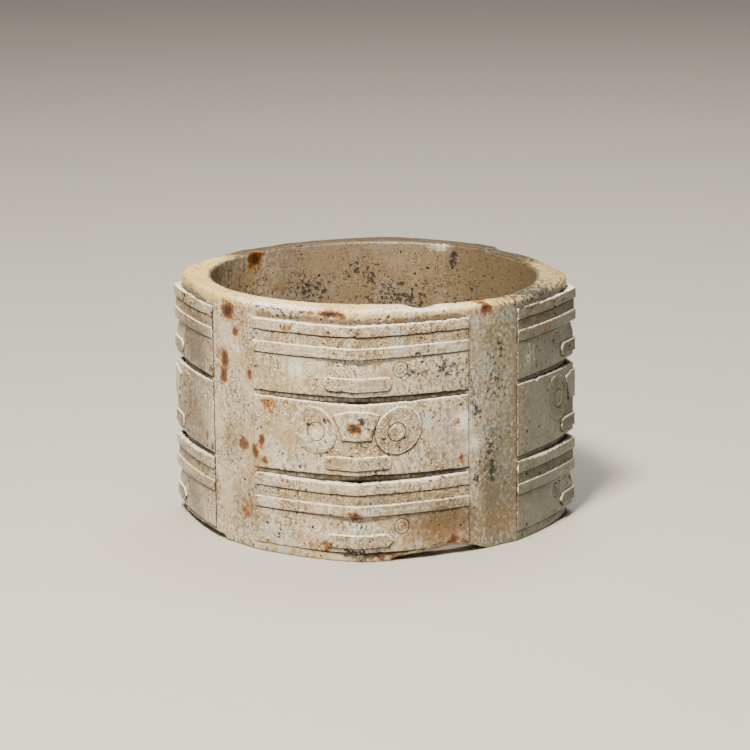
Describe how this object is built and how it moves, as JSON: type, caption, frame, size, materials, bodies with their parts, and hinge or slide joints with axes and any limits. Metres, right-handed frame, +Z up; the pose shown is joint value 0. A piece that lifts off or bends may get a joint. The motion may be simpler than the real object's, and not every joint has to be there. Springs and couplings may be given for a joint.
{
  "type": "jade cong",
  "caption": "Squared stone tube with a wide round bore, four corner blocks in tiers and carved beast faces.",
  "frame": {"origin": "centre of the underside, on the axis of the bore", "axes": "+Z up along the axis of the bore; the four flat channels face about along X and Y and the ridges of the corner blocks point along the diagonals, the front ridge between +X and -Y"},
  "size_m": [0.0748, 0.0748, 0.0502],
  "materials": {
    "altered_nephrite": "satin"
  },
  "bodies": {
    "root": {"jade_cong": "altered_nephrite"}
  },
  "joints": []
}
